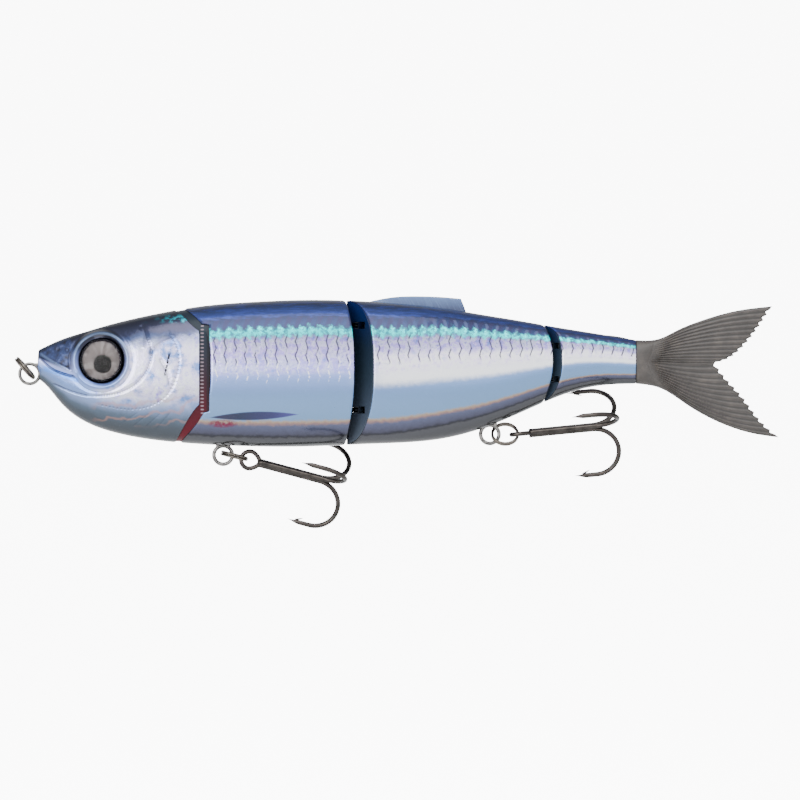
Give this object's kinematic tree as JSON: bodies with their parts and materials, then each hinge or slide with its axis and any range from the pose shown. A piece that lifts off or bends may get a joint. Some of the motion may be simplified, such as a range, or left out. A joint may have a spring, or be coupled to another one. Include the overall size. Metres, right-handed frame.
{
  "type": "swimbait",
  "caption": "Four-piece jointed hard swimbait with foil-finished herring body, wire hinges, soft forked tail, split rings and treble hooks.",
  "frame": {"origin": "centre of the line-tie loop at the nose", "axes": "+X from the nose towards the tail, +Z towards the back, +Y the fish's right side"},
  "size_m": [0.1696, 0.0202, 0.0515],
  "materials": {
    "foil": "holographic herring print under clear coat",
    "shell": "glossy dark blue",
    "iris": "silver reflective with black pupil",
    "lens": "clear domed",
    "wire": "bright stainless",
    "ballast": "plain",
    "ring_wire": "polished steel",
    "hook": "black nickel",
    "fin": "translucent blue-grey",
    "soft_tail": "satin grey-brown soft plastic"
  },
  "bodies": {
    "head": {"head_foil_left": "foil", "head_shell_left": "shell", "head_foil_right": "foil", "head_shell_right": "shell", "head_hinge_eyes": "wire", "head_weight": "ballast", "eye_left": "iris", "eye_lens_left": "lens", "eye_right": "iris", "eye_lens_right": "lens", "line_tie": "wire"},
    "nose_ring": {"nose_ring": "ring_wire"},
    "front_body": {"front_foil_left": "foil", "front_shell_left": "shell", "front_foil_right": "foil", "front_shell_right": "shell", "front_hinge_eyes": "wire", "front_hanger": "wire", "front_weight": "ballast", "head_pin": "wire", "rattle_balls": "ballast"},
    "front_ring": {"front_ring": "ring_wire"},
    "front_hook": {"front_treble": "hook"},
    "rear_body": {"rear_foil_left": "foil", "rear_shell_left": "shell", "rear_foil_right": "foil", "rear_shell_right": "shell", "rear_hinge_eyes": "wire", "rear_hanger": "wire", "rear_weight": "ballast", "middle_pin": "wire", "dorsal_fin": "fin"},
    "rear_ring": {"rear_ring": "ring_wire"},
    "rear_hook": {"rear_treble": "hook"},
    "tail_body": {"tail_foil_left": "foil", "tail_foil_right": "foil", "tail_shell_left": "shell", "tail_shell_right": "shell", "tail_pin": "wire", "tail_retainer": "wire", "soft_tail_root": "soft_tail"},
    "tail_fin": {"soft_tail_fin": "soft_tail"}
  },
  "joints": [
    {"name": "nose_ring_swing", "type": "hinge", "parent": "head", "child": "nose_ring", "pos_m": [0, 0, 0], "axis": [0, -1, 0], "range_deg": [-30, 85]},
    {"name": "head_joint", "type": "hinge", "parent": "head", "child": "front_body", "pos_m": [0.039, 0, 0], "axis": [0, 0, 1], "range_deg": [-12, 12]},
    {"name": "middle_joint", "type": "hinge", "parent": "front_body", "child": "rear_body", "pos_m": [0.0724, 0, 0], "axis": [0, 0, 1], "range_deg": [-24, 24]},
    {"name": "tail_joint", "type": "hinge", "parent": "rear_body", "child": "tail_body", "pos_m": [0.1157, 0, 0], "axis": [0, 0, 1], "range_deg": [-20, 20]},
    {"name": "tail_flex", "type": "hinge", "parent": "tail_body", "child": "tail_fin", "pos_m": [0.141, 0, 0], "axis": [0, 0, 1], "range_deg": [-20, 20], "stiffness_Nm_per_rad": 0.002},
    {"name": "front_ring_swing", "type": "hinge", "parent": "front_body", "child": "front_ring", "pos_m": [0.0429, 0, -0.018], "axis": [0, 1, 0], "range_deg": [-3, 75]},
    {"name": "front_hook_swing", "type": "hinge", "parent": "front_ring", "child": "front_hook", "pos_m": [0.04816, 0, -0.01889], "axis": [0, 1, 0], "range_deg": [-4, 65]},
    {"name": "rear_ring_swing", "type": "hinge", "parent": "rear_body", "child": "rear_ring", "pos_m": [0.102, 0, -0.0134], "axis": [0, 1, 0], "range_deg": [-2, 75]},
    {"name": "rear_hook_swing", "type": "hinge", "parent": "rear_ring", "child": "rear_hook", "pos_m": [0.10825, 0, -0.01335], "axis": [0, 0.6428, 0.766], "range_deg": [-4, 70]}
  ]
}
